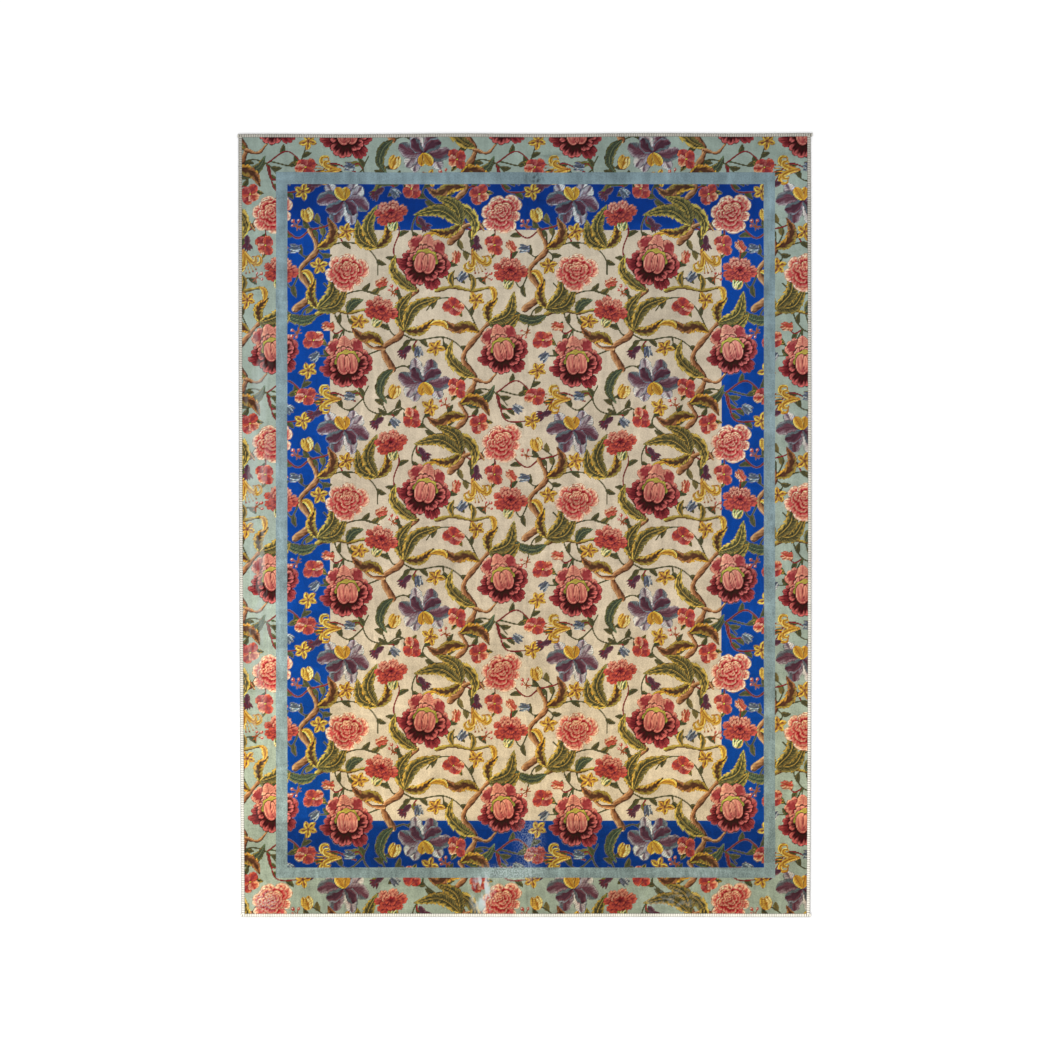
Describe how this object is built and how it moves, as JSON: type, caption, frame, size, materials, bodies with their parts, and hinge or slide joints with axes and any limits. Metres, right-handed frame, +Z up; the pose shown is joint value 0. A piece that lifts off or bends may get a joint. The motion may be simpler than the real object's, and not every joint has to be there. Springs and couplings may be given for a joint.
{
  "type": "printed velvet rug",
  "caption": "Flat rectangular velvet rug with a printed floral field, a blue inner border, a pale outer border and an overlocked yarn edge.",
  "frame": {"origin": "on the floor, under the middle of the rug", "axes": "+X across the rug to the right in plan, +Y up its length, +Z up from the floor"},
  "size_m": [1.6003, 2.1895, 0.0048],
  "materials": {
    "velvet": "short velvet pile printed in many colours on a woven backing",
    "edge_yarn": "matt off-white overlocking yarn in close stitches"
  },
  "bodies": {
    "root": {"rug_cloth": "velvet", "binding_top": "edge_yarn", "binding_bottom": "edge_yarn", "binding_left": "edge_yarn", "binding_right": "edge_yarn"}
  },
  "joints": []
}
